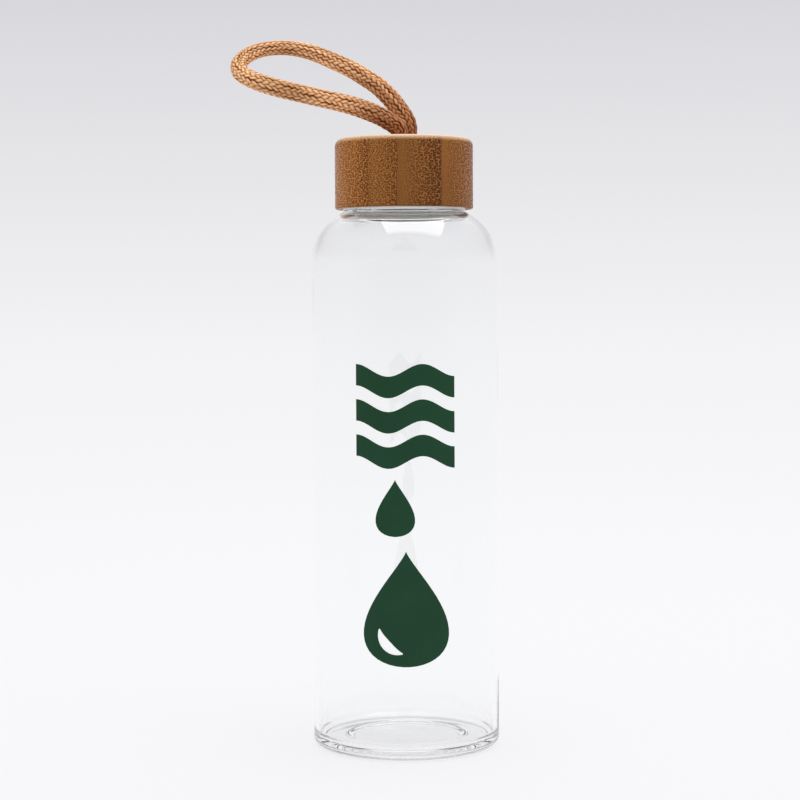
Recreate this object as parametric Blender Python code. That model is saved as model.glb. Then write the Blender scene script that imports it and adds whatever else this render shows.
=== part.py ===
"""A glass water bottle with a screwed bamboo cap and a carry loop of braided cord.

Metres, +Z up. The bottle's axis is the Z axis, and it stands on the plane z = 0.
The cap screws on a right-hand thread, so a turn about +Z lifts it by PITCH each turn.
"""
import math

import bmesh
import bpy
from mathutils import Vector

# Driving dimensions, in metres
BODY_RADIUS = 0.0325
WALL = 0.0020
SHOULDER_RADIUS = 0.0195
SHOULDER_BASE = 0.1680
NECK_RADIUS = 0.0180
NECK_FILLET = 0.0015
LIP_TOP = 0.1950
CAP_RADIUS = 0.0240
CAP_BOTTOM = 0.1867
CAP_TOP = 0.2110
CORD_RADIUS = 0.0030
PITCH = 0.0040
GAP = 0.0003
SEGMENTS = 48

# Glass base: a heel, a flat ring to stand on, and a shallow hollow inside the ring
HEEL_RADIUS = 0.0030
PUNT_RADIUS = 0.0220
PUNT_RISE = 0.0012
PUNT_EDGE = 0.0050
FLOOR_TOP = 0.0034
FLOOR_CORNER = 0.0028
LIP_ROUND = 0.0009

# Thread: a bead on the glass neck, and a ridge in the insert half a pitch below it
BEAD_HEIGHT = 0.0013
BEAD_HALF_WIDTHS = (0.0012, 0.0005)
BEAD_START_Z = 0.1886
BEAD_TURNS = (0.0, 1.15)
RIDGE_HALF_WIDTHS = (0.0010, 0.0004)
RIDGE_TURNS = (0.43, 1.45)
THREAD_CLEARANCE = 0.0004
THREAD_ROOT = 0.0006
THREAD_FADE = 0.10

# Insert and seal, stacked above the glass lip
SEAL_THICKNESS = 0.0016
SEAL_INNER_RADIUS = 0.0152
SEAL_OUTER_RADIUS = 0.0192
INSERT_WALL = 0.0017
INSERT_CEILING = 0.0015
INSERT_REACH = 0.0004
MOUTH_CHAMFER = 0.0009

# Bamboo cap: its top, the pocket for the knot, and the hole for the cord
CAP_TOP_THICKNESS = 0.0035
CAP_TOP_ROUND = 0.0026
CAP_BOTTOM_ROUND = 0.0006
POCKET_RADIUS = 0.0120
CORD_HOLE_RADIUS = 0.0057

# Cord: the knot in the pocket, and the loop above the cap
KNOT_RADIUS = 0.0092
KNOT_HEIGHT = 0.0078
ROOT_RADIUS = 0.0026
ROOT_OFFSET = Vector((0.0016, 0.00224, 0.0))
ROOT_TOP = 0.2088
CORD_STEP = 2 * CORD_RADIUS

# Route of the loop's centre line, from the hole round its tip and back to the hole
LOOP_ROUTE = [
    (-0.0019, -0.0026, 0.2145),
    (-0.0048, -0.0031, 0.2167),
    (-0.0095, -0.0041, 0.2193),
    (-0.0179, -0.0061, 0.2222),
    (-0.0266, -0.0080, 0.2241),
    (-0.0354, -0.0094, 0.2260),
    (-0.0442, -0.0095, 0.2282),
    (-0.0509, -0.0075, 0.2306),
    (-0.0557, -0.0038, 0.2334),
    (-0.0573, 0.0008, 0.2367),
    (-0.0555, 0.0053, 0.2402),
    (-0.0509, 0.0084, 0.2429),
    (-0.0452, 0.0097, 0.2440),
    (-0.0386, 0.0098, 0.2438),
    (-0.0318, 0.0092, 0.2422),
    (-0.0250, 0.0083, 0.2393),
    (-0.0183, 0.0072, 0.2361),
    (-0.0134, 0.0063, 0.2331),
    (-0.0089, 0.0054, 0.2300),
    (-0.0048, 0.0046, 0.2259),
    (-0.0015, 0.0038, 0.2216),
    (0.0009, 0.0031, 0.2179),
    (0.0017, 0.0027, 0.2145),
]

# Printed marks: thin enamel skins on the front of the glass, which is its -Y side
INK_GAP = 0.00006
INK_THICKNESS = 0.00010
WAVE_HALF_WIDTH = 0.0172
WAVE_HEIGHTS = (0.1281, 0.1163, 0.1045)
WAVE_BAND = 0.0072
WAVE_RISE = 0.0021
WAVE_LENGTH = 0.0230
WAVE_STEPS = 36
SMALL_DROP = {"centre_x": -0.0036, "tip_z": 0.0952, "height": 0.0192, "width": 0.0134}
LARGE_DROP = {"centre_x": 0.0, "tip_z": 0.0712, "height": 0.0390, "width": 0.0296}
DROP_TAPER = 1.5
HIGHLIGHT_CENTRE_Z = 0.0458
HIGHLIGHT_RADIUS = 0.0092
HIGHLIGHT_WIDTH = 0.0034
HIGHLIGHT_ANGLES = (185, 262)

# Derived dimensions
INNER_RADIUS = BODY_RADIUS - WALL
MOUTH_RADIUS = NECK_RADIUS - WALL
SHOULDER_CENTRE_R = BODY_RADIUS - SHOULDER_RADIUS
FILLET_CENTRE_R = NECK_RADIUS + NECK_FILLET
FILLET_TURN = math.acos((FILLET_CENTRE_R - SHOULDER_CENTRE_R) / (SHOULDER_RADIUS + NECK_FILLET))
FILLET_CENTRE_Z = SHOULDER_BASE + (SHOULDER_RADIUS + NECK_FILLET) * math.sin(FILLET_TURN)
BORE_RADIUS = NECK_RADIUS + BEAD_HEIGHT + THREAD_CLEARANCE
INSERT_RADIUS = BORE_RADIUS + INSERT_WALL
SEAL_BOTTOM = LIP_TOP + GAP
SEAL_TOP = SEAL_BOTTOM + SEAL_THICKNESS
CEILING_BOTTOM = SEAL_TOP + GAP
INSERT_TOP = CEILING_BOTTOM + INSERT_CEILING
POCKET_BOTTOM = INSERT_TOP + GAP
POCKET_TOP = CAP_TOP - CAP_TOP_THICKNESS
KNOT_Z = (POCKET_BOTTOM + POCKET_TOP) / 2
WIDEST_TURN = 2 * math.atan(math.sqrt(1 + DROP_TAPER))
DROP_WIDEST = math.sin(WIDEST_TURN) * math.sin(WIDEST_TURN / 2) ** DROP_TAPER


def clear_scene():
    for thing in list(bpy.data.objects):
        bpy.data.objects.remove(thing, do_unlink=True)


def make_material(name, colour, roughness, metallic=0.0, transmission=0.0):
    material = bpy.data.materials.new(name)
    material.use_nodes = True
    shader = material.node_tree.nodes["Principled BSDF"]
    shader.inputs["Base Color"].default_value = (*colour, 1.0)
    shader.inputs["Roughness"].default_value = roughness
    shader.inputs["Metallic"].default_value = metallic
    shader.inputs["Transmission Weight"].default_value = transmission
    return material


def add_object(name, data, material=None):
    thing = bpy.data.objects.new(name, data)
    bpy.context.scene.collection.objects.link(thing)
    if material is not None:
        data.materials.append(material)
    return thing


def mesh_from(name, shape):
    """Turn a bmesh into a mesh with outward faces, smooth except at its edges."""
    bmesh.ops.recalc_face_normals(shape, faces=shape.faces)
    mesh = bpy.data.meshes.new(name)
    shape.to_mesh(mesh)
    shape.free()
    mesh.shade_smooth()
    mesh.set_sharp_from_angle(angle=math.radians(35))
    return mesh


def arc(centre, radius, start, end, steps):
    """Points (r, z) of an arc from start to end, in degrees from the r axis."""
    points = []
    for step in range(steps + 1):
        angle = math.radians(start + (end - start) * step / steps)
        r = centre[0] + radius * math.cos(angle)
        z = centre[1] + radius * math.sin(angle)
        points.append((r, z))
    return points


def turned(name, outline, closed):
    """Spin an outline of (r, z) points once round the Z axis."""
    shape = bmesh.new()
    corners = [shape.verts.new((r, 0.0, z)) for r, z in outline]
    pairs = list(zip(corners, corners[1:]))
    if closed:
        pairs.append((corners[-1], corners[0]))
    edges = [shape.edges.new(pair) for pair in pairs]
    bmesh.ops.spin(
        shape,
        geom=corners + edges,
        cent=(0.0, 0.0, 0.0),
        axis=(0.0, 0.0, 1.0),
        angle=2 * math.pi,
        steps=SEGMENTS,
        use_merge=True,
    )
    bmesh.ops.remove_doubles(shape, verts=shape.verts, dist=1e-7)
    return mesh_from(name, shape)


def helical_rib(name, wall_radius, height, half_widths, z_at_zero, turns):
    """A thread rib: a tapered section swept up a right-hand helix, fading at both ends.

    A positive height stands outward from the wall and a negative one inward.
    """
    side = math.copysign(1.0, height)
    root = wall_radius - side * THREAD_ROOT
    hidden = wall_radius - side * THREAD_ROOT / 3
    crest = wall_radius + height
    first, last = turns
    stations = round((last - first) * SEGMENTS)
    shape = bmesh.new()
    rings = []
    for station in range(stations + 1):
        turn = first + (last - first) * station / stations
        fade = min(1.0, (turn - first) / THREAD_FADE, (last - turn) / THREAD_FADE)
        top = hidden + (crest - hidden) * fade
        angle = 2 * math.pi * turn
        z = z_at_zero + PITCH * turn
        base_half, crest_half = half_widths
        corners = [
            (root, z - base_half),
            (top, z - crest_half),
            (top, z + crest_half),
            (root, z + base_half),
        ]
        ring = [
            shape.verts.new((r * math.cos(angle), r * math.sin(angle), height_z))
            for r, height_z in corners
        ]
        rings.append(ring)
    for low, high in zip(rings, rings[1:]):
        for index in range(4):
            following = (index + 1) % 4
            shape.faces.new((low[index], low[following], high[following], high[index]))
    shape.faces.new(rings[0])
    shape.faces.new(list(reversed(rings[-1])))
    guide = add_object(name, mesh_from(name, shape))
    guide.hide_render = True
    guide.display_type = "WIRE"
    return guide


def join_with(target, guide, operation="UNION"):
    modifier = target.modifiers.new(guide.name, "BOOLEAN")
    modifier.operation = operation
    modifier.solver = "EXACT"
    modifier.object = guide


def glass_outline():
    """The bottle's section, from the centre of its base round the lip to its floor."""
    shoulder = (SHOULDER_CENTRE_R, SHOULDER_BASE)
    fillet = (FILLET_CENTRE_R, FILLET_CENTRE_Z)
    turn = math.degrees(FILLET_TURN)
    lip_z = LIP_TOP - LIP_ROUND
    outline = [(0.0, PUNT_RISE)]
    for step in range(6):
        share = step / 5
        fall = (1 + math.cos(math.pi * share)) / 2
        outline.append((PUNT_RADIUS - PUNT_EDGE * (1 - share), PUNT_RISE * fall))
    outline += arc((BODY_RADIUS - HEEL_RADIUS, HEEL_RADIUS), HEEL_RADIUS, -90, 0, 5)
    outline += arc(shoulder, SHOULDER_RADIUS, 0, turn, 10)
    outline += arc(fillet, NECK_FILLET, 180 + turn, 180, 3)[1:]
    outline += arc((NECK_RADIUS - LIP_ROUND, lip_z), LIP_ROUND, 0, 90, 3)
    outline += arc((MOUTH_RADIUS + LIP_ROUND, lip_z), LIP_ROUND, 90, 180, 3)
    outline += arc(fillet, NECK_FILLET + WALL, 180, 180 + turn, 5)
    outline += arc(shoulder, SHOULDER_RADIUS - WALL, turn, 0, 9)[1:]
    floor_r = INNER_RADIUS - FLOOR_CORNER
    outline += arc((floor_r, FLOOR_TOP + FLOOR_CORNER), FLOOR_CORNER, 0, -90, 5)
    outline += [(0.0, FLOOR_TOP)]
    return outline


def make_glass_bottle(glass):
    bottle = add_object("glass_bottle", turned("glass_bottle", glass_outline(), False), glass)
    bead = helical_rib(
        "glass_thread_guide", NECK_RADIUS, BEAD_HEIGHT, BEAD_HALF_WIDTHS, BEAD_START_Z, BEAD_TURNS
    )
    join_with(bottle, bead)


def make_bamboo_cap(bamboo):
    bore = INSERT_RADIUS + GAP
    top_r = CAP_RADIUS - CAP_TOP_ROUND
    low_r = CAP_RADIUS - CAP_BOTTOM_ROUND
    outline = [(bore, CAP_BOTTOM)]
    outline += arc((low_r, CAP_BOTTOM + CAP_BOTTOM_ROUND), CAP_BOTTOM_ROUND, -90, 0, 2)
    outline += arc((top_r, CAP_TOP - CAP_TOP_ROUND), CAP_TOP_ROUND, 0, 90, 5)
    outline += [(CORD_HOLE_RADIUS, CAP_TOP), (CORD_HOLE_RADIUS, POCKET_TOP)]
    outline += [(POCKET_RADIUS, POCKET_TOP), (POCKET_RADIUS, POCKET_BOTTOM)]
    outline += [(bore, POCKET_BOTTOM)]
    add_object("bamboo_cap", turned("bamboo_cap", outline, True), bamboo)


def make_thread_insert(plastic):
    """A threaded cup whose rim shows just under the bamboo, with a chamfer that leads the neck in."""
    bottom = CAP_BOTTOM - INSERT_REACH
    outline = [(0.0, INSERT_TOP), (INSERT_RADIUS, INSERT_TOP), (INSERT_RADIUS, bottom)]
    outline += [(BORE_RADIUS + MOUTH_CHAMFER, bottom), (BORE_RADIUS, bottom + MOUTH_CHAMFER)]
    outline += [(BORE_RADIUS, CEILING_BOTTOM), (0.0, CEILING_BOTTOM)]
    insert = add_object("thread_insert", turned("thread_insert", outline, False), plastic)
    crest = NECK_RADIUS + THREAD_CLEARANCE
    ridge = helical_rib(
        "insert_thread_guide",
        BORE_RADIUS,
        crest - BORE_RADIUS,
        RIDGE_HALF_WIDTHS,
        BEAD_START_Z - PITCH / 2,
        RIDGE_TURNS,
    )
    join_with(insert, ridge)


def make_seal_ring(silicone):
    outline = [
        (SEAL_INNER_RADIUS, SEAL_BOTTOM),
        (SEAL_OUTER_RADIUS, SEAL_BOTTOM),
        (SEAL_OUTER_RADIUS, SEAL_TOP),
        (SEAL_INNER_RADIUS, SEAL_TOP),
    ]
    add_object("seal_ring", turned("seal_ring", outline, True), silicone)


def make_cord_knot(cotton):
    """The knot under the cap's top, with the two strands that rise from it in the hole."""
    outline = []
    for x, z in arc((0.0, 0.0), 1.0, 90, -90, 10):
        outline.append((KNOT_RADIUS * abs(x), KNOT_Z + KNOT_HEIGHT / 2 * z))
    knot = add_object("cord_knot", turned("cord_knot", outline, False), cotton)
    for side, label in ((-1, "near"), (1, "far")):
        strand = bmesh.new()
        bmesh.ops.create_cone(
            strand,
            cap_ends=True,
            segments=12,
            radius1=ROOT_RADIUS,
            radius2=ROOT_RADIUS,
            depth=ROOT_TOP - KNOT_Z,
        )
        guide = add_object(f"{label}_root_guide", mesh_from(f"{label}_root_guide", strand))
        guide.location = side * ROOT_OFFSET + Vector((0.0, 0.0, (ROOT_TOP + KNOT_Z) / 2))
        guide.hide_render = True
        guide.display_type = "WIRE"
        join_with(knot, guide)


def smooth_points(route, step):
    """Even points on a smooth curve through a route, about one step apart."""
    stops = [Vector(point) for point in route]
    padded = [2 * stops[0] - stops[1], *stops, 2 * stops[-1] - stops[-2]]
    fine = []
    for before, start, end, after in zip(padded, padded[1:], padded[2:], padded[3:]):
        for part in range(20):
            t = part / 20
            bend = 2 * start + (end - before) * t
            bend += (2 * before - 5 * start + 4 * end - after) * t ** 2
            bend += (3 * start - before - 3 * end + after) * t ** 3
            fine.append(bend / 2)
    fine.append(stops[-1])
    lengths = [0.0]
    for start, end in zip(fine, fine[1:]):
        lengths.append(lengths[-1] + (end - start).length)
    count = round(lengths[-1] / step)
    points = []
    index = 0
    for number in range(count + 1):
        wanted = lengths[-1] * number / count
        while index < len(fine) - 2 and lengths[index + 1] < wanted:
            index += 1
        share = (wanted - lengths[index]) / (lengths[index + 1] - lengths[index])
        points.append(fine[index].lerp(fine[index + 1], share))
    return points


def make_carry_cord(cotton):
    points = smooth_points(LOOP_ROUTE, CORD_STEP)
    curve = bpy.data.curves.new("carry_cord", "CURVE")
    curve.dimensions = "3D"
    curve.bevel_depth = CORD_RADIUS
    curve.bevel_resolution = 2
    curve.use_fill_caps = True
    spline = curve.splines.new("POLY")
    spline.points.add(len(points) - 1)
    for target, point in zip(spline.points, points):
        target.co = (*point, 1.0)
    add_object("carry_cord", curve, cotton)


def on_glass(x, z, radius):
    """A flat drawing's point (x, z) wrapped round the front of the glass."""
    angle = x / BODY_RADIUS
    return (radius * math.sin(angle), -radius * math.cos(angle), z)


def wrapped_skin(name, rows, inner_radius, outer_radius):
    """A closed skin wrapped round the glass, from equal rows of drawing points (x, z)."""
    shape = bmesh.new()
    layers = []
    for radius in (inner_radius, outer_radius):
        layers.append([[shape.verts.new(on_glass(x, z, radius)) for x, z in row] for row in rows])
    inner, outer = layers
    last_row = len(rows) - 1
    last_column = len(rows[0]) - 1
    for layer in layers:
        for low, high in zip(layer, layer[1:]):
            for left in range(last_column):
                shape.faces.new((low[left], low[left + 1], high[left + 1], high[left]))
    border = [(0, column) for column in range(last_column)]
    border += [(row, last_column) for row in range(last_row)]
    border += [(last_row, column) for column in range(last_column, 0, -1)]
    border += [(row, 0) for row in range(last_row, 0, -1)]
    for (row, column), (next_row, next_column) in zip(border, border[1:] + border[:1]):
        corners = (inner[row][column], inner[next_row][next_column])
        corners += (outer[next_row][next_column], outer[row][column])
        shape.faces.new(corners)
    return mesh_from(name, shape)


def ink_skin(name, rows, ink):
    inner_radius = BODY_RADIUS + INK_GAP
    return add_object(name, wrapped_skin(name, rows, inner_radius, inner_radius + INK_THICKNESS), ink)


def make_wave_marks(ink):
    for number, height in enumerate(WAVE_HEIGHTS, start=1):
        rows = [[], []]
        for step in range(WAVE_STEPS + 1):
            x = WAVE_HALF_WIDTH * (2 * step / WAVE_STEPS - 1)
            middle = height + WAVE_RISE * math.sin(2 * math.pi * x / WAVE_LENGTH)
            rows[0].append((x, middle + WAVE_BAND / 2))
            rows[1].append((x, middle - WAVE_BAND / 2))
        ink_skin(f"wave_mark_{number}", rows, ink)


def drop_rows(drop, row_count, column_count):
    """Rows of points that fill a drop's outline, from its tip to its round base."""
    rows = []
    for number in range(row_count + 1):
        turn = math.pi * (0.03 + 0.955 * number / row_count)
        half = drop["width"] / 2 * math.sin(turn) * math.sin(turn / 2) ** DROP_TAPER / DROP_WIDEST
        z = drop["tip_z"] - drop["height"] * (1 - math.cos(turn)) / 2
        row = []
        for column in range(column_count + 1):
            row.append((drop["centre_x"] + half * (2 * column / column_count - 1), z))
        rows.append(row)
    return rows


def highlight_rows():
    """Rows of points between the two arcs of a crescent that tapers at both ends."""
    first, last = HIGHLIGHT_ANGLES
    rows = [[], []]
    steps = 12
    for step in range(steps + 1):
        angle = math.radians(first + (last - first) * step / steps)
        half = HIGHLIGHT_WIDTH / 2 * math.sin(math.pi * (0.04 + 0.92 * step / steps))
        for row, radius in zip(rows, (HIGHLIGHT_RADIUS + half, HIGHLIGHT_RADIUS - half)):
            row.append((radius * math.cos(angle), HIGHLIGHT_CENTRE_Z + radius * math.sin(angle)))
    return rows


def make_drop_marks(ink):
    ink_skin("small_drop_mark", drop_rows(SMALL_DROP, 18, 6), ink)
    large = ink_skin("large_drop_mark", drop_rows(LARGE_DROP, 26, 12), ink)
    window = wrapped_skin("highlight_guide", highlight_rows(), BODY_RADIUS - WALL, BODY_RADIUS + WALL)
    guide = add_object("highlight_guide", window)
    guide.hide_render = True
    guide.display_type = "WIRE"
    join_with(large, guide, "DIFFERENCE")


def main():
    clear_scene()
    make_glass_bottle(make_material("clear_glass", (0.92, 0.97, 0.94), 0.02, transmission=1.0))
    make_bamboo_cap(make_material("bamboo", (0.50, 0.26, 0.10), 0.45))
    make_thread_insert(make_material("white_plastic", (0.86, 0.85, 0.82), 0.35))
    make_seal_ring(make_material("silicone", (0.80, 0.80, 0.78), 0.55))
    cotton = make_material("tan_cotton", (0.52, 0.26, 0.10), 0.90)
    make_cord_knot(cotton)
    make_carry_cord(cotton)
    enamel = make_material("green_enamel", (0.008, 0.095, 0.030), 0.30)
    make_wave_marks(enamel)
    make_drop_marks(enamel)


main()
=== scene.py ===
"""Looks of the glass water bottle: fine glass, end-grain bamboo, and a braided cotton loop.

Metres, +Z up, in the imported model's own frame. The bottle's printed front faces -Y.
"""
import math

import bmesh
import bpy
import numpy as np
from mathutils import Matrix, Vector


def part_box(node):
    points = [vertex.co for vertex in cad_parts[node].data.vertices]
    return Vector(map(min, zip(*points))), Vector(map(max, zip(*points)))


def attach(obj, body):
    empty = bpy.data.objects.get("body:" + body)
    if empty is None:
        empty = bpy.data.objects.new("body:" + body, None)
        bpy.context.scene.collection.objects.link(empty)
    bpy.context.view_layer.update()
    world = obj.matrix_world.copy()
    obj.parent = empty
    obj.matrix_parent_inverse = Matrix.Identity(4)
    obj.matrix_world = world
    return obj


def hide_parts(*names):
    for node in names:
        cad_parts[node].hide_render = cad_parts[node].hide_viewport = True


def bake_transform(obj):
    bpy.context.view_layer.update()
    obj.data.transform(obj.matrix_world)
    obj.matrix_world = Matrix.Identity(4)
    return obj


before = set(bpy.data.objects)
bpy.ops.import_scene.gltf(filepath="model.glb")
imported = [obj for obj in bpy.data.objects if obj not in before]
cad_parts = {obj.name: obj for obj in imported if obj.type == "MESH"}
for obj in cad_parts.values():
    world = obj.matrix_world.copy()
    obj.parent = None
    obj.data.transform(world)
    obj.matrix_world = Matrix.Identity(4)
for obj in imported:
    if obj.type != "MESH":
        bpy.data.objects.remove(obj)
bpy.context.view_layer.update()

# Sizes of the real object that the frame's boxes don't give
WALL = 0.0020
SHOULDER_RADIUS = 0.0195
SHOULDER_BASE = 0.1680
NECK_RADIUS = 0.0180
NECK_FILLET = 0.0015
HEEL_RADIUS = 0.0030
PUNT_RADIUS = 0.0220
PUNT_RISE = 0.0012
PUNT_EDGE = 0.0050
FLOOR_TOP = 0.0034
FLOOR_CORNER = 0.0028
LIP_ROUND = 0.0009
PITCH = 0.0040
THREAD_HEIGHT = 0.0013
BEAD_HALF_WIDTHS = (0.0012, 0.0010)
BEAD_START_Z = 0.1886
BEAD_TURNS = (0.0, 1.15)
RIDGE_HALF_WIDTHS = (0.0010, 0.0008)
RIDGE_START_Z = BEAD_START_Z - PITCH / 2
RIDGE_TURNS = (0.43, 1.45)
CORD_HOLE_RADIUS = 0.0057
POCKET_RADIUS = 0.0120
POCKET_ROOF = 0.0035
CAP_TOP_ROUND = 0.0026
CAP_FOOT_ROUND = 0.0006
HOLE_ROUND = 0.0005
GLUE_GAP = 0.0003
THREAD_GAP = 0.0017
MOUTH_CHAMFER = 0.0009
SEAL_INNER = 0.0152
SEAL_ROUND = 0.0004
CORD_RADIUS = 0.0030

_, BOTTLE_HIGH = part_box("glass_bottle")
CAP_LOW, CAP_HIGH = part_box("bamboo_cap")
INSERT_LOW, INSERT_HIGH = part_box("thread_insert")
SEAL_LOW, SEAL_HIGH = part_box("seal_ring")
KNOT_LOW, KNOT_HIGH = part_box("cord_knot")
BODY_RADIUS = BOTTLE_HIGH.x
LIP_TOP = BOTTLE_HIGH.z
CAP_RADIUS = CAP_HIGH.x
INSERT_RADIUS = INSERT_HIGH.x

# The loop's centre line: out of the hole, round its tip, and back into the hole
LOOP_ROUTE = [
    (-0.0019, -0.0026, 0.2145),
    (-0.0048, -0.0031, 0.2167),
    (-0.0095, -0.0041, 0.2193),
    (-0.0179, -0.0061, 0.2222),
    (-0.0266, -0.0080, 0.2241),
    (-0.0354, -0.0094, 0.2260),
    (-0.0442, -0.0095, 0.2282),
    (-0.0509, -0.0075, 0.2306),
    (-0.0557, -0.0038, 0.2334),
    (-0.0573, 0.0008, 0.2367),
    (-0.0555, 0.0053, 0.2402),
    (-0.0509, 0.0084, 0.2429),
    (-0.0452, 0.0097, 0.2440),
    (-0.0386, 0.0098, 0.2438),
    (-0.0318, 0.0092, 0.2422),
    (-0.0250, 0.0083, 0.2393),
    (-0.0183, 0.0072, 0.2361),
    (-0.0134, 0.0063, 0.2331),
    (-0.0089, 0.0054, 0.2300),
    (-0.0048, 0.0046, 0.2259),
    (-0.0015, 0.0038, 0.2216),
    (0.0009, 0.0031, 0.2179),
    (0.0017, 0.0027, 0.2145),
]
NEAR_ROOT = [(-0.0015, -0.0021, 0.2060), (-0.0015, -0.0022, 0.2105)]
FAR_ROOT = [(0.0016, 0.0023, 0.2105), (0.0015, 0.0021, 0.2060)]


# ---------------------------------------------------------------- camera

# The eye is in front of the print, a little above the bottle's middle, and looks slightly down
CAMERA_PLACE = (-0.0016, -0.6903, 0.1537)
CAMERA_TILT = math.radians(2.31)
CAMERA_ROLL = math.radians(0.29)
CAMERA_LENS = 88.98
CAMERA_SHIFT = -0.020


def make_camera():
    data = bpy.data.cameras.new("camera")
    data.lens = CAMERA_LENS
    data.sensor_width = 36.0
    data.shift_y = CAMERA_SHIFT
    data.clip_start = 0.01
    data.clip_end = 50.0
    camera = bpy.data.objects.new("camera", data)
    camera.location = CAMERA_PLACE
    camera.rotation_euler = (math.pi / 2 - CAMERA_TILT, CAMERA_ROLL, 0.0)
    bpy.context.scene.collection.objects.link(camera)
    bpy.context.scene.camera = camera


# ---------------------------------------------------------------- mesh helpers

def add_object(name, data):
    thing = bpy.data.objects.new(name, data)
    bpy.context.scene.collection.objects.link(thing)
    return thing


def mesh_from(name, shape, sharp_degrees=35):
    bmesh.ops.recalc_face_normals(shape, faces=shape.faces)
    mesh = bpy.data.meshes.new(name)
    shape.to_mesh(mesh)
    shape.free()
    mesh.shade_smooth()
    mesh.set_sharp_from_angle(angle=math.radians(sharp_degrees))
    return mesh


def arc(centre, radius, start, end, steps):
    """Points (r, z) of an arc from start to end, in degrees from the r axis."""
    points = []
    for step in range(steps + 1):
        angle = math.radians(start + (end - start) * step / steps)
        r = centre[0] + radius * math.cos(angle)
        z = centre[1] + radius * math.sin(angle)
        points.append((r, z))
    return points


def turned(name, outline, closed, segments):
    """Spin an outline of (r, z) points once round the Z axis."""
    shape = bmesh.new()
    corners = [shape.verts.new((r, 0.0, z)) for r, z in outline]
    pairs = list(zip(corners, corners[1:]))
    if closed:
        pairs.append((corners[-1], corners[0]))
    edges = [shape.edges.new(pair) for pair in pairs]
    bmesh.ops.spin(
        shape,
        geom=corners + edges,
        cent=(0.0, 0.0, 0.0),
        axis=(0.0, 0.0, 1.0),
        angle=2 * math.pi,
        steps=segments,
        use_merge=True,
    )
    bmesh.ops.remove_doubles(shape, verts=shape.verts, dist=1e-7)
    return mesh_from(name, shape)


def helical_rib(name, wall_radius, height, half_widths, z_at_zero, turns):
    """A rounded thread rib swept up a right-hand helix, with ends that fade into the wall.

    half_widths are the rib's at its root and at its crest, and turns are where it starts and ends.
    """
    root_depth = 0.0005
    per_turn = 120
    across = 8
    fading_turn = 0.10
    base_half, crest_half = half_widths
    first, last = turns
    sunk = wall_radius - math.copysign(root_depth, height)
    stations = round((last - first) * per_turn)
    shape = bmesh.new()
    rings = []
    for station in range(stations + 1):
        turn = first + (last - first) * station / stations
        fade = min(1.0, (turn - first) / fading_turn, (last - turn) / fading_turn)
        fade = math.sin(fade * math.pi / 2)
        angle = 2 * math.pi * turn
        z = z_at_zero + PITCH * turn
        corners = []
        for step in range(across + 1):
            t = 2 * step / across - 1
            half = crest_half + (base_half - crest_half) * abs(t) ** 1.5
            r = wall_radius + height * fade * (1 - abs(t) ** 3)
            corners.append((r if step not in (0, across) else sunk, z + half * t))
        rings.append([
            shape.verts.new((r * math.cos(angle), r * math.sin(angle), level))
            for r, level in corners
        ])
    count = across + 1
    for low, high in zip(rings, rings[1:]):
        for index in range(count):
            following = (index + 1) % count
            shape.faces.new((low[index], low[following], high[following], high[index]))
    shape.faces.new(rings[0])
    shape.faces.new(list(reversed(rings[-1])))
    return add_object(name, mesh_from(name, shape, 60))


def join_for_good(target, guide):
    """Union a guide into a piece, keep the result as the piece's mesh, and drop the guide."""
    modifier = target.modifiers.new("union", "BOOLEAN")
    modifier.operation = "UNION"
    modifier.solver = "EXACT"
    modifier.object = guide
    graph = bpy.context.evaluated_depsgraph_get()
    joined = bpy.data.meshes.new_from_object(target.evaluated_get(graph))
    target.modifiers.clear()
    target.data = joined
    bpy.data.objects.remove(guide, do_unlink=True)
    joined.shade_smooth()
    joined.set_sharp_from_angle(angle=math.radians(50))


# ---------------------------------------------------------------- shader helpers

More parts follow.
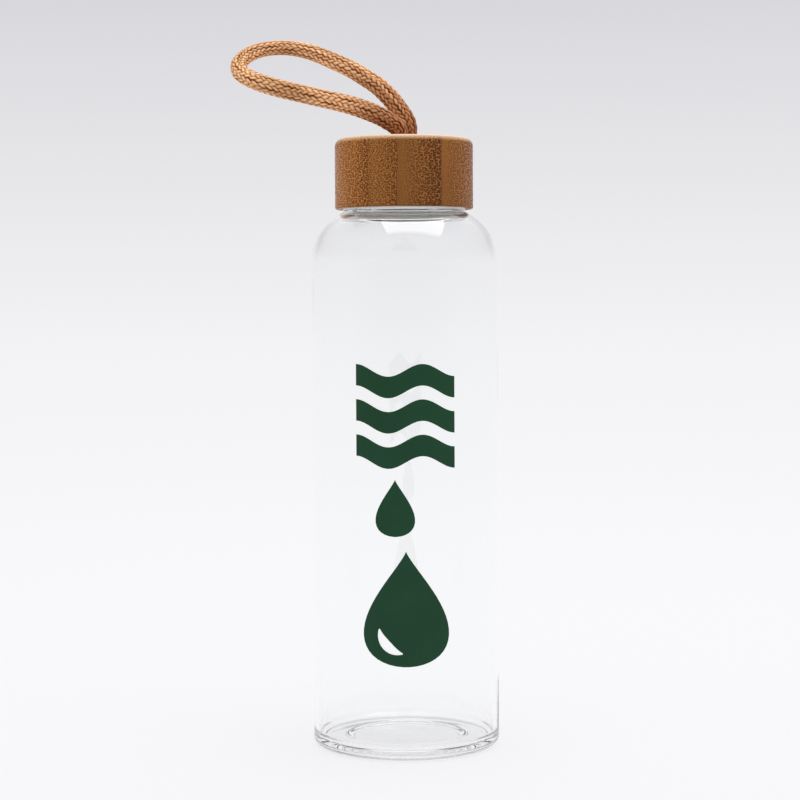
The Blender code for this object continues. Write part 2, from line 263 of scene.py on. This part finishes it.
class Shader:
    """A small wrapper that adds and links the nodes of one material."""

    def __init__(self, name):
        self.material = bpy.data.materials.new(name)
        self.material.use_nodes = True
        self.tree = self.material.node_tree
        self.surface = self.tree.nodes["Principled BSDF"]

    def set(self, **values):
        for socket, value in values.items():
            self.surface.inputs[socket.replace("_", " ")].default_value = value

    def link(self, source, target):
        self.tree.links.new(source, target)

    def node(self, kind, inputs=None, **settings):
        made = self.tree.nodes.new(kind)
        for key, value in settings.items():
            setattr(made, key, value)
        for key, value in (inputs or {}).items():
            if isinstance(value, bpy.types.NodeSocket):
                self.link(value, made.inputs[key])
            else:
                made.inputs[key].default_value = value
        return made

    def math(self, operation, first, second=0.0):
        made = self.node("ShaderNodeMath", {0: first, 1: second}, operation=operation)
        return made.outputs[0]

    def place(self):
        return self.node("ShaderNodeTexCoord").outputs["Object"]

    def scaled(self, vector, scale):
        made = self.node("ShaderNodeVectorMath", {0: vector, 1: scale}, operation="MULTIPLY")
        return made.outputs[0]

    def noise(self, vector, scale, detail=3.0, roughness=0.5):
        inputs = {"Vector": vector, "Scale": scale, "Detail": detail, "Roughness": roughness}
        return self.node("ShaderNodeTexNoise", inputs).outputs["Fac"]

    def cells(self, vector, scale, randomness):
        """Distance from the centre of the nearest cell, in two dimensions."""
        inputs = {"Vector": vector, "Scale": scale, "Randomness": randomness}
        made = self.node("ShaderNodeTexVoronoi", inputs, voronoi_dimensions="2D")
        return made.outputs["Distance"]

    def ramp(self, factor, stops, interpolation="LINEAR"):
        """A colour ramp. A stop is a position with a grey level or with three colour levels."""
        made = self.node("ShaderNodeValToRGB", {"Fac": factor})
        band = made.color_ramp
        band.interpolation = interpolation
        while len(band.elements) < len(stops):
            band.elements.new(0.5)
        for element, (position, colour) in zip(band.elements, stops):
            element.position = position
            if isinstance(colour, (int, float)):
                colour = (colour, colour, colour)
            element.color = (*colour, 1.0)
        return made.outputs["Color"]

    def mix(self, factor, first, second, blend_type="MIX"):
        made = self.node("ShaderNodeMix", data_type="RGBA", blend_type=blend_type)
        for index, value in ((0, factor), (6, first), (7, second)):
            if isinstance(value, bpy.types.NodeSocket):
                self.link(value, made.inputs[index])
            elif index == 0:
                made.inputs[0].default_value = value
            else:
                made.inputs[index].default_value = (*value, 1.0)
        return made.outputs[2]

    def bump(self, height, strength, distance):
        inputs = {"Height": height, "Strength": strength, "Distance": distance}
        return self.node("ShaderNodeBump", inputs).outputs["Normal"]


# ---------------------------------------------------------------- cord

BRAID_YARNS = 14          # yarns that wind each way round the cord
BRAID_STEP = 0.0022       # along the cord, from one yarn to the next that winds the same way
BRAID_RELIEF = 0.00070    # from the deepest gap between yarns to the top of one
BRAID_PROUD = 0.00004     # how far the tops of the yarns stand outside the cord's radius
ROOT_SHADE_REACH = 0.023     # how far from its ends the cord is darkened with painted shade near the hole


def smooth_points(route, step):
    """Even points on a smooth curve through a route, about one step apart."""
    parts = 40
    smoothing_passes = 60
    stops = [Vector(point) for point in route]
    padded = [2 * stops[0] - stops[1], *stops, 2 * stops[-1] - stops[-2]]
    fine = []
    for before, start, end, after in zip(padded, padded[1:], padded[2:], padded[3:]):
        for part in range(parts):
            t = part / parts
            bend = 2 * start + (end - before) * t
            bend += (2 * before - 5 * start + 4 * end - after) * t ** 2
            bend += (3 * start - before - 3 * end + after) * t ** 3
            fine.append(bend / 2)
    fine.append(stops[-1])
    fine = np.array(fine)
    for _ in range(smoothing_passes):
        fine[1:-1] = (fine[:-2] + 2 * fine[1:-1] + fine[2:]) / 4
    lengths = np.concatenate([[0.0], np.cumsum(np.linalg.norm(np.diff(fine, axis=0), axis=1))])
    wanted = np.linspace(0.0, lengths[-1], round(lengths[-1] / step) + 1)
    points = np.stack([np.interp(wanted, lengths, fine[:, axis]) for axis in range(3)], axis=1)
    return points, wanted


def turning_frames(points):
    """Two unit vectors across the path at each point, carried along it without a twist."""
    along = np.gradient(points, axis=0)
    along /= np.linalg.norm(along, axis=1)[:, None]
    side = np.cross(along[0], (0.0, 1.0, 0.3))
    side /= np.linalg.norm(side)
    sides = []
    for direction in along:
        side = side - direction * (side @ direction)
        side /= np.linalg.norm(side)
        sides.append(side)
    sides = np.array(sides)
    return sides, np.cross(along, sides)


def braid_relief(distance, angle):
    """Height from 0 to 1 of a two-over, two-under braid, and the shade of the yarn on top."""
    squareness = 1.7      # how abruptly a yarn passes from over to under
    half_width = 0.60     # of a yarn, in spacings between yarns
    lift_share = 0.62
    ply_share = 0.035
    lowest, reach = 0.45, 1.20
    round_cord = BRAID_YARNS * angle / (2 * np.pi)
    along = distance / BRAID_STEP
    # Each yarn wanders a little to both sides of its even place
    slip = 0.16 * np.sin(2 * angle + 330 * distance) + 0.12 * np.sin(3 * angle - 610 * distance)
    best = None
    for sign, turn in ((1.0, 0.0), (-1.0, 2.0)):
        own = round_cord + sign * (along + slip)
        other = round_cord - sign * along
        number = np.round(own)
        across = own - number
        swing = np.cos(2 * np.pi * (other + number - 0.5 + turn) / 4)
        lift = np.tanh(squareness * swing) / np.tanh(squareness)
        body = np.sqrt(np.clip(1 - (across / half_width) ** 2, 0.0, 1.0))
        plies = np.cos(2 * np.pi * (3.2 * across + 1.4 * other))
        height = lift_share * lift + body + ply_share * plies
        shade = np.sin(number * 12.9898 + turn * 37.7) * 0.5 + 0.5
        if best is None:
            best = height, shade
        else:
            over = height > best[0]
            best = np.where(over, height, best[0]), np.where(over, shade, best[1])
    height, shade = best
    return np.clip((height - lowest) / reach, 0.0, 1.0), shade


def braided_tube(name, route, radius_along, around=126, step=0.00025):
    """A closed tube of braid along a route. radius_along maps 0..1 along it to a radius."""
    points, distance = smooth_points(route, step)
    sides, ups = turning_frames(points)
    angles = 2 * np.pi * np.arange(around) / around
    height, shade = braid_relief(distance[:, None], angles[None, :])
    base = np.array([radius_along(share) for share in distance / distance[-1]])
    radius = base[:, None] - BRAID_RELIEF * (1 - height) + BRAID_PROUD
    offsets = sides[:, None, :] * np.cos(angles)[None, :, None]
    offsets = offsets + ups[:, None, :] * np.sin(angles)[None, :, None]
    skin = points[:, None, :] + offsets * radius[:, :, None]
    rings = len(points)
    vertices = np.concatenate([skin.reshape(-1, 3), points[:1], points[-1:]])
    low = np.arange(rings - 1)[:, None] * around
    high = low + around
    column = np.arange(around)[None, :]
    after = (column + 1) % around
    faces = np.stack([low + column, low + after, high + after, high + column], 2)
    faces = faces.reshape(-1, 4).tolist()
    first, last = rings * around, rings * around + 1
    top = (rings - 1) * around
    for index in range(around):
        following = (index + 1) % around
        faces.append([first, following, index])
        faces.append([last, top + index, top + following])
    mesh = bpy.data.meshes.new(name)
    mesh.from_pydata(vertices.tolist(), [], faces)
    # Painted shade: the cord is darkened towards the hole, where its strands shade each other
    to_hole = np.repeat(np.minimum(distance, distance[-1] - distance), around)
    root_shade_mask = np.exp(-((to_hole / ROOT_SHADE_REACH) ** 2))
    for label, values in (("braid_height", height), ("yarn_shade", shade), ("painted_root_shade", root_shade_mask)):
        attribute = mesh.attributes.new(label, "FLOAT", "POINT")
        filled = np.concatenate([values.reshape(-1), [0.5, 0.5]])
        attribute.data.foreach_set("value", filled.astype(np.float32))
    mesh.shade_smooth()
    return add_object(name, mesh), points


def cotton_material():
    shader = Shader("tan_cotton")
    height = shader.node("ShaderNodeAttribute", attribute_name="braid_height").outputs["Fac"]
    shade = shader.node("ShaderNodeAttribute", attribute_name="yarn_shade").outputs["Fac"]
    place = shader.place()
    patches = shader.noise(place, 90.0, 4.0)
    fibres = shader.noise(place, 5200.0, 3.0, 0.65)
    # Colour by height on the braid: the gaps between the yarns are made near black as painted
    # shade
    yarn = shader.ramp(
        height,
        [
            (0.0, (0.050, 0.010, 0.002)),
            (0.38, (0.200, 0.058, 0.013)),
            (0.65, (0.580, 0.250, 0.092)),
            (1.0, (1.0, 0.690, 0.420)),
        ],
    )
    tint = shader.ramp(shade, [(0.0, (0.74, 0.68, 0.60)), (1.0, (1.12, 1.12, 1.12))])
    yarn = shader.mix(1.0, yarn, tint, "MULTIPLY")
    # Painted shade near the hole, multiplied into the yarn colour
    root_shade_mask = shader.node("ShaderNodeAttribute", attribute_name="painted_root_shade").outputs["Fac"]
    root_shade_tint = shader.ramp(root_shade_mask, [(0.0, (1.0, 1.0, 1.0)), (1.0, (0.52, 0.34, 0.25))])
    yarn = shader.mix(1.0, yarn, root_shade_tint, "MULTIPLY")
    wear = shader.ramp(patches, [(0.3, (0.92, 0.88, 0.84)), (0.7, (1.05, 1.05, 1.06))])
    yarn = shader.mix(1.0, yarn, wear, "MULTIPLY")
    flecks = shader.ramp(fibres, [(0.25, (0.78, 0.74, 0.70)), (0.75, (1.14, 1.14, 1.15))])
    yarn = shader.mix(1.0, yarn, flecks, "MULTIPLY")
    shader.link(yarn, shader.surface.inputs["Base Color"])
    shader.link(shader.bump(fibres, 0.55, 0.00012), shader.surface.inputs["Normal"])
    shader.set(Roughness=0.85, Sheen_Weight=0.16, Sheen_Roughness=0.45)
    shader.set(Sheen_Tint=(1.0, 0.82, 0.66, 1.0), Specular_IOR_Level=0.10)
    return shader.material


def loop_radius(share):
    """Squeezed in its hole, slack just outside it, and drawn a little thinner round the tip."""
    def near(middle, spread):
        return math.exp(-((share - middle) / spread) ** 2)

    root = min(1.0, min(share, 1 - share) / 0.055)
    tip = near(0.57, 0.12)
    slack = near(0.13, 0.06) + near(0.86, 0.06)
    return CORD_RADIUS * (0.86 + 0.17 * root - 0.18 * tip + 0.06 * slack)


def make_knot(cotton):
    """A coil of the cord under the cap's top, with its ends laid past each other."""
    steps = 24
    overlap = 2
    last = steps + overlap
    middle = (KNOT_LOW.z + KNOT_HIGH.z) / 2
    reach = KNOT_HIGH.x - CORD_RADIUS
    ring = []
    for step in range(last + 1):
        angle = 2 * math.pi * step / steps
        lift = 0.0008 * math.sin(2 * angle) + 0.0006 * (2 * step / last - 1)
        ring.append((reach * math.cos(angle), reach * math.sin(angle), middle + lift))
    knot, _ = braided_tube("loop_knot", ring, lambda share: CORD_RADIUS * 0.98, 60, 0.0004)
    knot.data.materials.append(cotton)
    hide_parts("cord_knot")
    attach(knot, "knot")
    return knot


def make_cord():
    cotton = cotton_material()
    loop, points = braided_tube("carry_loop", NEAR_ROOT + LOOP_ROUTE + FAR_ROOT, loop_radius)
    loop.data.materials.append(cotton)
    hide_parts("carry_cord")
    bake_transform(loop)

    knot = make_knot(cotton)


# ---------------------------------------------------------------- glass

def glass_material():
    shader = Shader("clear_glass")
    shader.set(Base_Color=(0.992, 0.998, 0.994, 1.0), Roughness=0.0, IOR=1.472)
    shader.set(Transmission_Weight=1.0)
    place = shader.place()
    swell = shader.noise(shader.scaled(place, (1.0, 1.0, 0.45)), 45.0, 1.0)
    shader.link(shader.bump(swell, 0.20, 0.0010), shader.surface.inputs["Normal"])
    return shader.material


def glass_outline():
    """The bottle's section, from the centre of its base round the lip to its floor."""
    shoulder = (BODY_RADIUS - SHOULDER_RADIUS, SHOULDER_BASE)
    reach = SHOULDER_RADIUS + NECK_FILLET
    turn = math.acos((NECK_RADIUS + NECK_FILLET - shoulder[0]) / reach)
    fillet = (NECK_RADIUS + NECK_FILLET, SHOULDER_BASE + reach * math.sin(turn))
    turn = math.degrees(turn)
    mouth = NECK_RADIUS - WALL
    inner = BODY_RADIUS - WALL
    lip_z = LIP_TOP - LIP_ROUND
    low_ring, high_ring = 0.05, 0.11
    steps = 24
    outline = [(0.0, PUNT_RISE)]
    for step in range(steps + 1):
        share = step / steps
        fall = (1 + math.cos(math.pi * share)) / 2
        outline.append((PUNT_RADIUS - PUNT_EDGE * (1 - share), PUNT_RISE * fall))
    outline += arc((BODY_RADIUS - HEEL_RADIUS, HEEL_RADIUS), HEEL_RADIUS, -90, 0, 16)
    outline += [(BODY_RADIUS, low_ring), (BODY_RADIUS, high_ring)]
    outline += arc(shoulder, SHOULDER_RADIUS, 0, turn, 30)
    outline += arc(fillet, NECK_FILLET, 180 + turn, 180, 8)[1:]
    outline += arc((NECK_RADIUS - LIP_ROUND, lip_z), LIP_ROUND, 0, 90, 6)
    outline += arc((mouth + LIP_ROUND, lip_z), LIP_ROUND, 90, 180, 6)
    outline += arc(fillet, NECK_FILLET + WALL, 180, 180 + turn, 12)
    outline += arc(shoulder, SHOULDER_RADIUS - WALL, turn, 0, 28)[1:]
    outline += [(inner, high_ring), (inner, low_ring)]
    floor_r = inner - FLOOR_CORNER
    outline += arc((floor_r, FLOOR_TOP + FLOOR_CORNER), FLOOR_CORNER, 0, -90, 14)
    outline += [(floor_r * 0.7, FLOOR_TOP), (floor_r * 0.35, FLOOR_TOP), (0.0, FLOOR_TOP)]
    return outline


def make_glass():
    bottle = add_object("bottle_glass", turned("bottle_glass", glass_outline(), False, 160))
    bead = helical_rib(
        "bead", NECK_RADIUS, THREAD_HEIGHT, BEAD_HALF_WIDTHS, BEAD_START_Z, BEAD_TURNS
    )
    join_for_good(bottle, bead)
    bottle.data.materials.clear()
    bottle.data.materials.append(glass_material())
    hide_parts("glass_bottle")
    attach(bottle, "bottle")


# ---------------------------------------------------------------- cap

STRIP_EDGES = (-0.0270, -0.0122, -0.0023, 0.0125, 0.0262)
# Each strip's own tone; the left strip is also made lighter as painted light from the left
STRIP_TONES_AND_SIDE_LIGHT = (1.32, 0.95, 0.76, 0.90)
CAP_SPAN = 0.060
FIBRE_PUSH = 0.0008
# height of the painted highlight band round the cap's top
TOP_HIGHLIGHT_HEIGHT = 0.0020


def across_strips(shader, place, place_x):
    """Place from 0 to 1 across the cap, with joints between strips that aren't quite straight."""
    wander = shader.noise(shader.scaled(place, (1.0, 0.02, 1.0)), 120.0, 1.0)
    drift = shader.math("MULTIPLY", shader.math("SUBTRACT", wander, 0.5), 0.0011)
    across = shader.math("DIVIDE", shader.math("ADD", place_x, drift), CAP_SPAN)
    return shader.math("ADD", across, 0.5)


def strip_depth(shader, across):
    """From 0 at the pale inner side of each strip to 1 at its dense outer side."""
    stops = []
    for left, right in zip(STRIP_EDGES, STRIP_EDGES[1:]):
        stops.append((left / CAP_SPAN + 0.5 + 0.002, 0.0))
        stops.append((right / CAP_SPAN + 0.5 - 0.002, 1.0))
    depth = shader.ramp(across, stops)
    packed = shader.ramp(across, [(0.44, 0.45), (0.47, 0.0)])
    return shader.math("MAXIMUM", depth, packed)


def fibre_ends(shader, place, parts, across, depth):
    """Distance from the nearest fibre bundle, in units of that bundle's own size."""
    grain = shader.scaled(place, (1.0, 0.030, 1.0))
    push = shader.node("ShaderNodeTexNoise", {"Vector": grain, "Scale": 700.0, "Detail": 1.0})
    aside = shader.node("ShaderNodeSeparateColor", {0: push.outputs["Color"]})
    end_x = shader.math("MULTIPLY", aside.outputs["Red"], FIBRE_PUSH)
    end_z = shader.math("MULTIPLY", aside.outputs["Green"], FIBRE_PUSH)
    end_x = shader.math("ADD", end_x, parts.outputs["X"])
    end_z = shader.math("ADD", end_z, parts.outputs["Z"])
    where = shader.node("ShaderNodeCombineXYZ", {"X": end_x, "Y": end_z}).outputs[0]
    fine = shader.cells(where, 1650.0, 0.75)
    coarse = shader.cells(where, 1400.0, 0.85)
    size = shader.ramp(depth, [(0.0, 0.18), (0.20, 0.42), (0.70, 0.52), (1.0, 0.58)])
    coarse_size = shader.math("MULTIPLY", size, 1.10)
    fine_spot = shader.math("DIVIDE", fine, size)
    coarse_spot = shader.math("DIVIDE", coarse, coarse_size)
    patch = shader.ramp(across, [(0.56, 0.0), (0.585, 1.0), (0.703, 1.0), (0.709, 0.0)])
    return shader.mix(patch, fine_spot, coarse_spot)


def bamboo_ground(shader, place, across, depth):
    """The pale tissue between the fibre bundles, with its own tone in each strip; the left strip's
    tone is also raised as painted light from the left.
    """
    tone = shader.noise(shader.scaled(place, (1.0, 0.05, 0.12)), 200.0, 4.0)
    ground = shader.ramp(tone, [(0.25, (0.310, 0.113, 0.021)), (0.75, (0.430, 0.165, 0.033))])
    ageing = shader.ramp(
        depth,
        [
            (0.0, (0.70, 0.66, 0.62)),
            (0.15, (0.86, 0.84, 0.80)),
            (0.6, (1.0, 1.0, 1.0)),
            (1.0, (0.92, 0.88, 0.82)),
        ],
    )
    ground = shader.mix(1.0, ground, ageing, "MULTIPLY")
    strips = []
    for edge, strength in zip(STRIP_EDGES, STRIP_TONES_AND_SIDE_LIGHT):
        strips.append((edge / CAP_SPAN + 0.5, strength))
    return shader.mix(1.0, ground, shader.ramp(across, strips, "CONSTANT"), "MULTIPLY")


def glue_seams(shader, across):
    """1 on the thin dark lines where the strips are glued together, 0 away from them."""
    seams = []
    for edge in STRIP_EDGES:
        middle = edge / CAP_SPAN + 0.5
        gap = shader.math("ABSOLUTE", shader.math("SUBTRACT", across, middle))
        seams.append(shader.ramp(gap, [(0.0010, 1.0), (0.0040, 0.0)]))
    seam = seams[0]
    for other in seams[1:]:
        seam = shader.math("MAXIMUM", seam, other)
    return seam


def top_edge_highlight(shader, place, place_z):
    """1 on the rounding round the cap's top, which is painted pale as a highlight from the light
    above.
    """
    height = shader.math("SUBTRACT", place_z, CAP_HIGH.z - TOP_HIGHLIGHT_HEIGHT)
    height = shader.math("MULTIPLY", height, 1 / TOP_HIGHLIGHT_HEIGHT)
    top_highlight = shader.ramp(height, [(0.05, 0.0), (0.70, 0.50), (0.95, 1.0)])
    flat = shader.scaled(place, (1.0, 1.0, 0.0))
    radius = shader.node("ShaderNodeVectorMath", {0: flat}, operation="LENGTH")
    outward = shader.math("DIVIDE", radius.outputs["Value"], CAP_RADIUS)
    rounding = shader.ramp(outward, [(0.87, 0.22), (0.93, 1.0)])
    return shader.math("MULTIPLY", top_highlight, rounding)


def bamboo_material():
    """Bamboo laminated from strips that stand side by side along X, with fibres along Y."""
    shader = Shader("bamboo")
    place = shader.place()
    parts = shader.node("ShaderNodeSeparateXYZ", {0: place})
    across = across_strips(shader, place, parts.outputs["X"])
    depth = strip_depth(shader, across)
    spot = fibre_ends(shader, place, parts, across, depth)
    depth_tone = shader.ramp(depth, [(0.0, 0.35), (0.30, 0.72), (0.8, 0.88), (1.0, 0.96)])
    dark = shader.ramp(spot, [(0.50, 1.0), (1.15, 0.0)])
    dark = shader.math("MULTIPLY", dark, depth_tone)
    halo = shader.ramp(spot, [(0.95, 0.0), (1.15, 1.0), (1.6, 0.35)])
    halo = shader.math("MULTIPLY", halo, shader.math("MULTIPLY", depth_tone, 0.60))
    ground = bamboo_ground(shader, place, across, depth)
    lit = shader.mix(halo, ground, (0.46, 0.22, 0.080))
    colour = shader.mix(dark, lit, (0.062, 0.014, 0.002))
    seam = shader.math("MULTIPLY", glue_seams(shader, across), 0.55)
    colour = shader.mix(seam, colour, (0.060, 0.018, 0.005))
    # Painted highlight: the rounding round the cap's top is made pale where the top light falls
    top_highlight = top_edge_highlight(shader, place, parts.outputs["Z"])
    colour = shader.mix(top_highlight, colour, (0.90, 0.65, 0.41))
    shader.link(colour, shader.surface.inputs["Base Color"])
    rough = shader.ramp(dark, [(0.0, 0.34), (1.0, 0.55)])
    shader.link(rough, shader.surface.inputs["Roughness"])
    relief = shader.math("SUBTRACT", 1.0, dark)
    shader.link(shader.bump(relief, 0.30, 0.00005), shader.surface.inputs["Normal"])
    shader.set(Specular_IOR_Level=0.14, Sheen_Weight=0.14, Sheen_Roughness=0.30)
    shader.set(Sheen_Tint=(1.0, 0.80, 0.62, 1.0))
    return shader.material


def make_cap():
    bore = INSERT_RADIUS + GLUE_GAP
    top_z, low_z = CAP_HIGH.z, CAP_LOW.z
    pocket_low = INSERT_HIGH.z + GLUE_GAP
    pocket_top = top_z - POCKET_ROOF
    foot, brow, rim = CAP_FOOT_ROUND, CAP_TOP_ROUND, HOLE_ROUND
    outline = [(bore, low_z + 0.0002)]
    outline += arc((CAP_RADIUS - foot, low_z + foot), foot, -90, 0, 5)
    outline += arc((CAP_RADIUS - brow, top_z - brow), brow, 0, 90, 14)
    outline += arc((CORD_HOLE_RADIUS + rim, top_z - rim), rim, 90, 180, 4)
    outline += [(CORD_HOLE_RADIUS, pocket_top)]
    outline += [(POCKET_RADIUS, pocket_top), (POCKET_RADIUS, pocket_low), (bore, pocket_low)]
    cap = add_object("bamboo_shell", turned("bamboo_shell", outline, True, 160))
    cap.data.materials.append(bamboo_material())
    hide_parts("bamboo_cap")
    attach(cap, "cap")


def plastic_material():
    shader = Shader("white_plastic")
    cloud = shader.noise(shader.place(), 180.0, 2.0)
    colour = shader.ramp(cloud, [(0.3, (0.94, 0.93, 0.91)), (0.7, (0.96, 0.955, 0.94))])
    shader.link(colour, shader.surface.inputs["Base Color"])
    fine = shader.noise(shader.place(), 3500.0, 2.0)
    rough = shader.ramp(fine, [(0.3, 0.30), (0.7, 0.42)])
    shader.link(rough, shader.surface.inputs["Roughness"])
    shader.link(shader.bump(fine, 0.08, 0.00005), shader.surface.inputs["Normal"])
    return shader.material


def make_insert():
    bore = NECK_RADIUS + THREAD_GAP
    ceiling = SEAL_HIGH.z + 0.0003
    top_z, low_z = INSERT_HIGH.z, INSERT_LOW.z
    top_round, foot_round, corner = 0.0005, 0.0004, 0.0002
    outline = [(0.0, top_z)]
    outline += arc((INSERT_RADIUS - top_round, top_z - top_round), top_round, 90, 0, 4)
    outline += arc((INSERT_RADIUS - foot_round, low_z + foot_round), foot_round, 0, -90, 4)
    outline += [(bore + MOUTH_CHAMFER, low_z), (bore, low_z + MOUTH_CHAMFER)]
    outline += [(bore, ceiling - corner), (bore - corner, ceiling), (0.0, ceiling)]
    insert = add_object("thread_liner", turned("thread_liner", outline, False, 160))
    ridge = helical_rib(
        "ridge", bore, -THREAD_HEIGHT, RIDGE_HALF_WIDTHS, RIDGE_START_Z, RIDGE_TURNS
    )
    join_for_good(insert, ridge)
    insert.data.materials.clear()
    insert.data.materials.append(plastic_material())
    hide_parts("thread_insert")
    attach(insert, "cap")


def silicone_material():
    shader = Shader("silicone")
    cloud = shader.noise(shader.place(), 220.0, 2.0)
    colour = shader.ramp(cloud, [(0.3, (0.88, 0.88, 0.86)), (0.7, (0.92, 0.92, 0.90))])
    shader.link(colour, shader.surface.inputs["Base Color"])
    shader.link(shader.bump(cloud, 0.05, 0.0001), shader.surface.inputs["Normal"])
    shader.set(Roughness=0.55, Subsurface_Weight=0.3, Subsurface_Scale=0.002)
    return shader.material


def make_seal():
    inner, outer = SEAL_INNER, SEAL_HIGH.x
    low_z, top_z = SEAL_LOW.z, SEAL_HIGH.z
    soft = SEAL_ROUND
    outline = arc((inner + soft, low_z + soft), soft, 180, 270, 4)
    outline += arc((outer - soft, low_z + soft), soft, -90, 0, 4)
    outline += arc((outer - soft, top_z - soft), soft, 0, 90, 4)
    outline += arc((inner + soft, top_z - soft), soft, 90, 180, 4)
    seal = add_object("seal_washer", turned("seal_washer", outline, True, 120))
    seal.data.materials.append(silicone_material())
    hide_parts("seal_ring")
    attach(seal, "seal")


# ---------------------------------------------------------------- printed marks

def enamel_material():
    shader = Shader("green_enamel")
    place = shader.place()
    cloud = shader.noise(place, 60.0, 2.0)
    colour = shader.ramp(cloud, [(0.3, (0.0035, 0.0440, 0.0150)), (0.7, (0.0050, 0.0520, 0.0190))])
    shader.link(colour, shader.surface.inputs["Base Color"])
    fine = shader.noise(place, 2600.0, 2.0)
    shader.link(shader.ramp(fine, [(0.3, 0.30), (0.7, 0.40)]), shader.surface.inputs["Roughness"])
    shader.link(shader.bump(fine, 0.06, 0.00004), shader.surface.inputs["Normal"])
    shader.set(Specular_IOR_Level=0.22)
    return shader.material


MARKS = ("wave_mark_1", "wave_mark_2", "wave_mark_3", "small_drop_mark", "large_drop_mark")


def make_marks():
    """The marks keep their CAD shapes and only get the look of printed enamel."""
    enamel = enamel_material()
    for name in MARKS:
        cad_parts[name].material_slots[0].material = enamel


# ---------------------------------------------------------------- stage and light

STAGE_GLOW = 0.845
STAGE_HEIGHT = 1.6
STAGE_RADIUS = 1.8
STAGE_SWEEP = 0.7
STAGE_DROP = 0.0002       # the floor lies this far below the bottle, so that no two faces coincide


def paper_material():
    """Pale paper whose glow falls from the floor to the back wall, and darker behind the eye."""
    shader = Shader("paper")
    place = shader.place()
    parts = shader.node("ShaderNodeSeparateXYZ", {0: place})
    level = shader.math("DIVIDE", parts.outputs["Z"], STAGE_HEIGHT)
    back = shader.ramp(
        level,
        [
            (0.0, (0.945, 0.938, 0.955)),
            (0.07, (0.910, 0.903, 0.920)),
            (0.20, (0.788, 0.779, 0.804)),
            (0.326, (0.676, 0.664, 0.698)),
            (0.40, (0.65, 0.64, 0.67)),
            (1.0, (1.0, 1.0, 1.0)),
        ],
    )
    front = shader.ramp(
        level,
        [
            (0.0, (0.90, 0.90, 0.91)),
            (0.13, (0.66, 0.66, 0.67)),
            (0.375, (0.52, 0.52, 0.53)),
            (1.0, (1.0, 1.0, 1.0)),
        ],
    )
    side = shader.math("MULTIPLY", parts.outputs["Y"], -1 / STAGE_RADIUS)
    facing = shader.ramp(side, [(0.25, 0.0), (0.75, 1.0)])
    glow = shader.mix(facing, back, front)
    shader.link(glow, shader.surface.inputs["Emission Color"])
    grain = shader.noise(place, 400.0, 2.0)
    paper = shader.ramp(grain, [(0.3, (0.118, 0.118, 0.118)), (0.7, (0.122, 0.122, 0.122))])
    shader.link(paper, shader.surface.inputs["Base Color"])
    shader.set(Emission_Strength=STAGE_GLOW, Roughness=1.0, Specular_IOR_Level=0.0)
    return shader.material


def make_stage():
    """A pale floor that sweeps up into a pale wall all round, glowing softly like a lit tent."""
    outline = [(0.0, 0.0), (0.3, 0.0), (0.7, 0.0)]
    outline += arc((STAGE_RADIUS - STAGE_SWEEP, STAGE_SWEEP), STAGE_SWEEP, -90, 0, 24)
    outline += [(STAGE_RADIUS, STAGE_HEIGHT)]
    outline = [(r, z - STAGE_DROP) for r, z in outline]
    stage = add_object("stage", turned("stage", outline, False, 96))
    stage.data.materials.append(paper_material())


SOFTBOX_SIZE = (0.89, 1.2)
SOFTBOX_PLACE = (0.145, 0.155, 1.20)
SOFTBOX_AIM = (-0.024, 0.453, -0.891)
SOFTBOX_WATTS = 8.0


def make_softbox():
    """The one lamp, above the bottle and a little behind it."""
    data = bpy.data.lights.new("top_softbox", "AREA")
    data.shape = "RECTANGLE"
    data.size, data.size_y = SOFTBOX_SIZE
    data.energy = SOFTBOX_WATTS
    lamp = add_object("top_softbox", data)
    lamp.location = SOFTBOX_PLACE
    lamp.rotation_euler = Vector(SOFTBOX_AIM).to_track_quat("-Z", "Y").to_euler()


def make_world():
    world = bpy.data.worlds.new("studio")
    world.use_nodes = True
    background = world.node_tree.nodes["Background"]
    background.inputs["Color"].default_value = (0.94, 0.95, 1.0, 1.0)
    background.inputs["Strength"].default_value = 0.95
    bpy.context.scene.world = world


def set_glass_paths():
    """Light that is trapped in the thick glass needs many bounces to find its way out."""
    scene = bpy.context.scene
    scene.view_settings.view_transform = "Standard"
    scene.cycles.max_bounces = 64
    scene.cycles.diffuse_bounces = 24
    scene.cycles.glossy_bounces = 48
    scene.cycles.transmission_bounces = 48


make_camera()
make_cord()
make_glass()
make_cap()
make_insert()
make_seal()
make_marks()
make_stage()
make_world()
make_softbox()
set_glass_paths()
